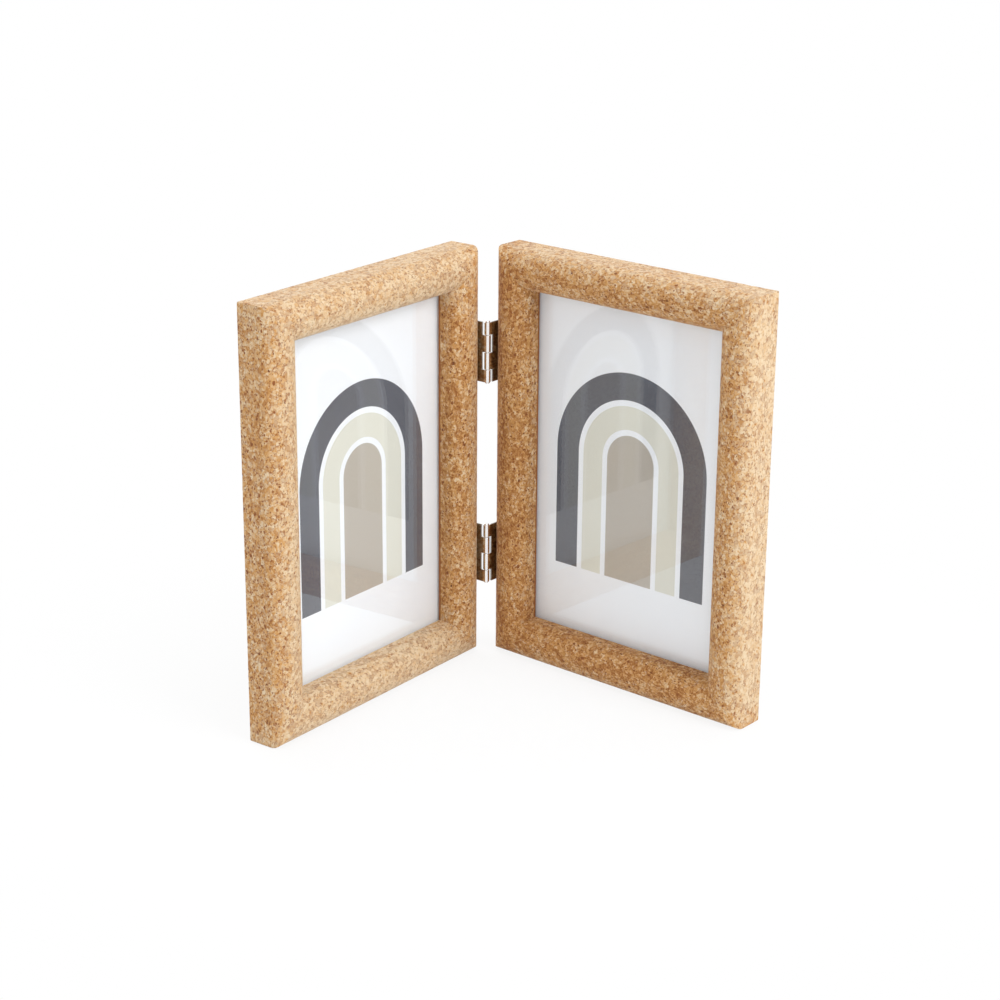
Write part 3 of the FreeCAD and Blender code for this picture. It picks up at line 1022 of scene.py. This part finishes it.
def area_lamp(name, place, size, power):
    """A square lamp aimed at the middle of the object."""
    lamp = bpy.data.lights.new(name, "AREA")
    lamp.size = size
    lamp.energy = power
    holder = bpy.data.objects.new(name, lamp)
    holder.location = place
    aim = Vector((0, 0, FRAME_HEIGHT / 2)) - Vector(place)
    holder.rotation_euler = aim.to_track_quat("-Z", "Y").to_euler()
    bpy.context.scene.collection.objects.link(holder)


def make_camera(s):
    """A camera from its heading, pitch and roll."""
    camera = bpy.data.cameras.new("Camera")
    camera.lens = s.lens
    camera.sensor_width = 36
    camera.clip_start = 0.01
    forward = Vector((
        math.sin(s.heading) * math.cos(s.pitch), math.cos(s.heading) * math.cos(s.pitch), -math.sin(s.pitch)))
    right = Vector((math.cos(s.heading), -math.sin(s.heading), 0))
    up = right.cross(forward)
    rolled_right = right * math.cos(s.roll) + up * math.sin(s.roll)
    rolled_up = up * math.cos(s.roll) - right * math.sin(s.roll)
    turn = Matrix((rolled_right, rolled_up, -forward)).transposed()
    holder = bpy.data.objects.new("Camera", camera)
    holder.matrix_world = Matrix.Translation(s.camera_place) @ turn.to_4x4()
    bpy.context.scene.collection.objects.link(holder)
    bpy.context.scene.camera = holder


# Operators

class FRAME_OT_mouldings(bpy.types.Operator):
    """Makes the eight cork mouldings with their mitred ends and grain"""

    bl_idname = "photo_frame.mouldings"
    bl_label = "Cork mouldings"

    def execute(self, context):
        cork_grain_group()
        cork = cork_material()
        for side_number, side in enumerate(SIDES):
            for member_number, member in enumerate(MEMBERS):
                piece = moulding(side, member, FIRST_SEED + 10 * side_number + member_number)
                dress(piece, cork, side + "_frame", [f"{side}_{member}"])
        return {"FINISHED"}


class FRAME_OT_prints(bpy.types.Operator):
    """Makes the printed card behind each pane"""

    bl_idname = "photo_frame.prints"
    bl_label = "Printed cards"

    def execute(self, context):
        printed = print_material()
        for side in SIDES:
            piece = card(side, "print", settings().prints.behind_glass)
            dress(piece, printed, side + "_frame", [side + "_print"])
        return {"FINISHED"}


class FRAME_OT_panes(bpy.types.Operator):
    """Finishes the two glass panes"""

    bl_idname = "photo_frame.panes"
    bl_label = "Glass panes"

    def execute(self, context):
        glass = glass_material()
        for side in SIDES:
            finish_node(side + "_glass", glass)
        return {"FINISHED"}


class FRAME_OT_boards(bpy.types.Operator):
    """Finishes the filler boards and the hardboard backs"""

    bl_idname = "photo_frame.boards"
    bl_label = "Boards"

    def execute(self, context):
        fine_wear_group()
        grey = worn_material(
            "Grey board", colour=(0.27, 0.25, 0.23), dull=(0.22, 0.205, 0.19), low=0.85, high=0.95,
            scale=0.8, stretch=(1, 1, 1), metallic=0.0, bump_height=0.05 * MM)
        hardboard = worn_material(
            "Hardboard", colour=(0.21, 0.11, 0.052), dull=(0.115, 0.056, 0.027), low=0.45, high=0.65,
            scale=0.9, stretch=(1, 1, 0.3), metallic=0.0, bump_height=0.08 * MM)
        for side in SIDES:
            finish_node(side + "_filler_board", grey)
            finish_node(side + "_backing_board", hardboard)
        return {"FINISHED"}


class FRAME_OT_hinges(bpy.types.Operator):
    """Makes the nickel-plated leaves, pins and countersunk screws"""

    bl_idname = "photo_frame.hinges"
    bl_label = "Hinges"

    def execute(self, context):
        s = settings().metal
        nickel = hinge_material()
        for which in HINGES:
            dress_node(which + "_hinge_pin", s.easing, nickel, "left_frame")
            for side in SIDES:
                leaf = f"{side}_{which}_hinge_leaf"
                dress_node(leaf, s.leaf_easing, nickel, side + "_frame")
        for side in SIDES:
            dress_node(side + "_hinge_screws", s.easing, nickel, side + "_frame")
        return {"FINISHED"}


class FRAME_OT_back_fittings(bpy.types.Operator):
    """Makes the steel turn buttons, their screws and the corner nails"""

    bl_idname = "photo_frame.back_fittings"
    bl_label = "Back fittings"

    def execute(self, context):
        s = settings().metal
        steel = worn_material(
            "Zinc-plated steel", colour=s.steel, dull=darker(s.steel, 0.8), low=0.25, high=0.42,
            scale=0.6, stretch=(0.15, 1, 1), metallic=1.0, bump_height=0.01 * MM)
        for side in SIDES:
            for name in ("button_screws", "corner_nails"):
                dress_node(f"{side}_{name}", s.easing, steel, side + "_frame")
            for name in BUTTONS:
                dress_node(f"{side}_{name}", s.easing, steel, f"{side}_{name}")
        return {"FINISHED"}


class FRAME_OT_stage(bpy.types.Operator):
    """Sets the floor, the light and the camera"""

    bl_idname = "photo_frame.stage"
    bl_label = "Floor, light and camera"

    def execute(self, context):
        s = settings().stage
        make_floor()
        light_world(s.world_light)
        for name, place, size in LAMPS:
            area_lamp(name, place, size, getattr(s, name.lower() + "_power"))
        make_camera(s)
        context.scene.view_settings.view_transform = "Standard"
        return {"FINISHED"}


OPERATORS = (
    FRAME_OT_mouldings, FRAME_OT_prints, FRAME_OT_panes, FRAME_OT_boards,
    FRAME_OT_hinges, FRAME_OT_back_fittings, FRAME_OT_stage,
)


class FRAME_PT_panel(bpy.types.Panel):
    """Lists the settings and steps of the photo frame"""

    bl_idname = "FRAME_PT_panel"
    bl_label = "Photo Frame"
    bl_space_type = "VIEW_3D"
    bl_region_type = "UI"
    bl_category = "Photo Frame"

    def draw(self, context):
        for group in (settings().cork, settings().prints, settings().metal, settings().stage):
            box = self.layout.box()
            for name in group.bl_rna.properties.keys():
                if name not in ("rna_type", "name"):
                    box.prop(group, name)
        for operator in OPERATORS:
            self.layout.operator(operator.bl_idname)


SETTING_GROUPS = (CorkSettings, PrintSettings, MetalSettings, StageSettings, FrameSettings)
CLASSES = SETTING_GROUPS + OPERATORS + (FRAME_PT_panel,)


def register():
    for each in CLASSES:
        bpy.utils.register_class(each)
    bpy.types.Scene.photo_frame = PointerProperty(type=FrameSettings)


def unregister():
    del bpy.types.Scene.photo_frame
    for each in reversed(CLASSES):
        bpy.utils.unregister_class(each)


def main():
    """Makes every piece."""
    register()
    for operator in OPERATORS:
        group, name = operator.bl_idname.split(".")
        getattr(getattr(bpy.ops, group), name)()


if __name__ == "__main__":
    main()
